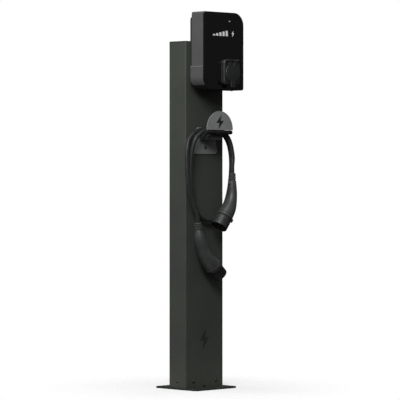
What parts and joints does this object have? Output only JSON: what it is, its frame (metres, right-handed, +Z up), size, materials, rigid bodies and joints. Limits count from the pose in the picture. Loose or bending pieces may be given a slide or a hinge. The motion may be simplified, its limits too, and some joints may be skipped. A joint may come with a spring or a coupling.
{
  "type": "ev charging post",
  "caption": "Sheet-steel post on a square base plate, carrying an upright charger with a flap-covered socket and a hook holding a coiled charging cable with two plugs.",
  "frame": {"origin": "centre of the base plate's underside, where it stands on the ground", "axes": "+Z up along the post; the charger, socket and cable holder face -Y; +X is to the right seen from the front"},
  "size_m": [0.2203, 0.256, 1.2655],
  "materials": {
    "coated_column": "fine-textured powder coat, matt",
    "coated_plate": "powder coat, matt",
    "coated_cap": "powder coat, matt",
    "holder_coat": "powder coat, satin",
    "zinc_steel": "zinc plated",
    "spring_steel": "polished",
    "brass": "plain",
    "silver_contact": "silver plated",
    "grey_plastic": "fine texture",
    "dark_plastic": "moulded",
    "light_plastic": "moulded",
    "part_blue": "moulded",
    "socket_plastic": "satin",
    "plug_plastic": "satin",
    "gloss_black": "polished",
    "rubber": "matt",
    "cable_rubber": "satin",
    "circuit_board": "solder mask",
    "lens": "clear",
    "mark_white": "printed",
    "mark_grey": "matt"
  },
  "bodies": {
    "root": {"base_plate": "coated_plate", "base_socket": "coated_plate", "weld_nuts": "zinc_steel", "earth_stud": "brass", "column": "coated_column", "rear_cover": "coated_column", "rear_cover_screws": "zinc_steel", "column_cap": "coated_cap", "column_screws": "zinc_steel", "post_mark": "mark_grey", "wall_bracket": "zinc_steel", "bracket_bolts": "zinc_steel", "rear_housing": "dark_plastic", "housing_seal": "rubber", "main_housing": "grey_plastic", "lower_cover": "grey_plastic", "cover_screws": "zinc_steel", "housing_screws": "zinc_steel", "front_panel": "gloss_black", "status_lens": "lens", "charge_mark": "mark_white", "control_board": "circuit_board", "relays": "part_blue", "power_supply": "dark_plastic", "leakage_sensor": "light_plastic", "terminal_block": "light_plastic", "board_standoffs": "brass", "card_reader": "circuit_board", "supply_gland": "dark_plastic", "gland_nut": "dark_plastic", "socket_housing": "socket_plastic", "socket_gasket": "rubber", "socket_insert": "dark_plastic", "socket_contacts": "brass", "socket_screws": "zinc_steel", "hinge_pin": "zinc_steel", "lock_actuator": "dark_plastic", "holder_back_plate": "holder_coat", "holder_drum": "holder_coat", "holder_front_plate": "holder_coat", "holder_screws": "zinc_steel", "charging_cable": "cable_rubber", "plug_1_boot": "cable_rubber", "plug_1_handle": "plug_plastic", "plug_1_seal": "rubber", "plug_1_collar": "plug_plastic", "plug_1_insert": "dark_plastic", "plug_1_pins": "silver_contact", "plug_2_boot": "cable_rubber", "plug_2_handle": "plug_plastic", "plug_2_seal": "rubber", "plug_2_collar": "plug_plastic", "plug_2_insert": "dark_plastic", "plug_2_contacts": "silver_contact", "flap_spring": "spring_steel"},
    "flap_body": {"flap": "socket_plastic", "flap_seal": "rubber"},
    "lock_body": {"lock_pin": "spring_steel"}
  },
  "joints": [
    {"name": "flap_hinge", "type": "hinge", "parent": "root", "child": "flap_body", "pos_m": [0.02, -0.154, 1.1035], "axis": [-1, 0, 0], "range_deg": [0, 110], "stiffness_Nm_per_rad": 0.02, "springref_deg": -45.84, "deforming": ["flap_spring"]},
    {"name": "lock_slide", "type": "slide", "parent": "root", "child": "lock_body", "axis": [0, 0, -1], "range_m": [0, 0.006]}
  ]
}
